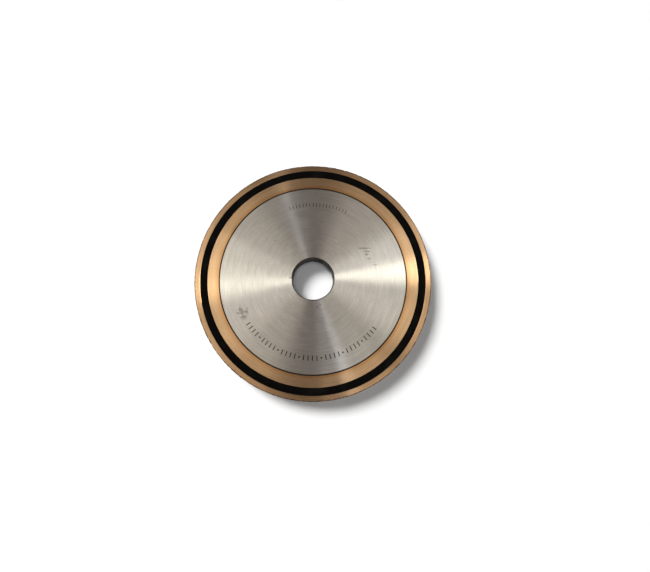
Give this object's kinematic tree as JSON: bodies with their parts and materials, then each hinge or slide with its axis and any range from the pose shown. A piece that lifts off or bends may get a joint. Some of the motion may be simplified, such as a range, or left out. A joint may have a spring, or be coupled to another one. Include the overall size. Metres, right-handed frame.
{
  "type": "diamond grinding wheel",
  "caption": "Flat round grinding wheel with a plain bore, a turned steel core, a bronze ring, a black elastic ring in a front groove and a narrow diamond rim.",
  "frame": {"origin": "on the bore's axis, at the back face that the wheel lies on", "axes": "+Z along the bore's axis towards the engraved front face; the row of fine ticks is on the +Y side"},
  "size_m": [0.125, 0.125, 0.012],
  "materials": {
    "core_steel": "turned",
    "adhesive": "matte",
    "ring_bronze": "turned",
    "black_rubber": "matte",
    "rim_bronze": "turned, with embedded grit"
  },
  "bodies": {
    "root": {"core_disc": "core_steel", "bond_film": "adhesive", "support_ring": "ring_bronze", "damping_ring": "black_rubber", "diamond_rim": "rim_bronze"}
  },
  "joints": []
}
